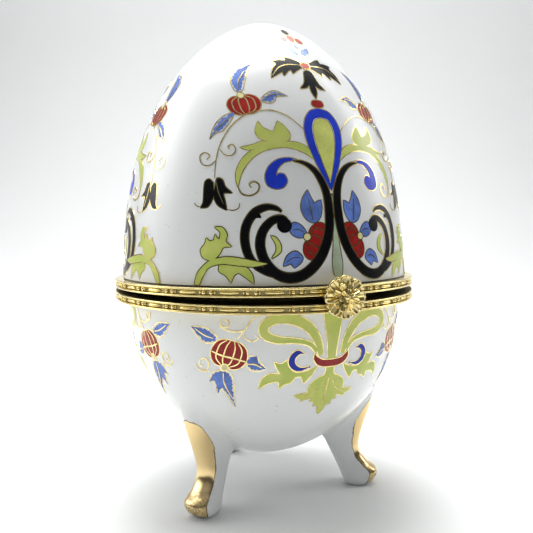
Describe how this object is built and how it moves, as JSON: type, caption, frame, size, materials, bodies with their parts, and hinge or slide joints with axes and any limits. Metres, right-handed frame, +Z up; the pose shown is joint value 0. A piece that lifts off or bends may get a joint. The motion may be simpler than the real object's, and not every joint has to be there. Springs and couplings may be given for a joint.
{
  "type": "porcelain trinket box",
  "caption": "Footed egg-shaped porcelain trinket box: hinged domed lid and bowl in gilt brass rims, with a flower clasp and short curved legs.",
  "frame": {"origin": "centre of the overall box, on the surface that the feet stand on", "axes": "+Z up along the egg's axis, -Y towards the clasp, +Y towards the hinge, +X to the right seen from the clasp"},
  "size_m": [0.08, 0.0861, 0.1253],
  "materials": {
    "porcelain": "glossy white glaze with painted enamel scrollwork and gold lines",
    "gilt_porcelain": "glossy white glaze, gold lustre on the outer face",
    "gilt_brass": "polished, gold plated",
    "pin_brass": "drawn wire",
    "cement": "matt plaster cement"
  },
  "bodies": {
    "base": {"base_bowl": "porcelain", "foot_left": "gilt_porcelain", "foot_right": "gilt_porcelain", "foot_rear": "gilt_porcelain", "lower_bezel": "gilt_brass", "lower_cement_bed": "cement", "hinge_lower_leaf": "gilt_brass", "hinge_pin": "pin_brass", "catch_keeper": "gilt_brass"},
    "lid": {"lid_shell": "porcelain", "upper_bezel": "gilt_brass", "upper_cement_bed": "cement", "hinge_upper_leaf": "gilt_brass", "clasp_rosette": "gilt_brass", "clasp_tongue": "gilt_brass", "clasp_rivet": "pin_brass"}
  },
  "joints": [
    {"name": "lid_hinge", "type": "hinge", "parent": "base", "child": "lid", "pos_m": [0, 0.04165, 0.0561], "axis": [-1, 0, 0], "range_deg": [0, 65]}
  ]
}
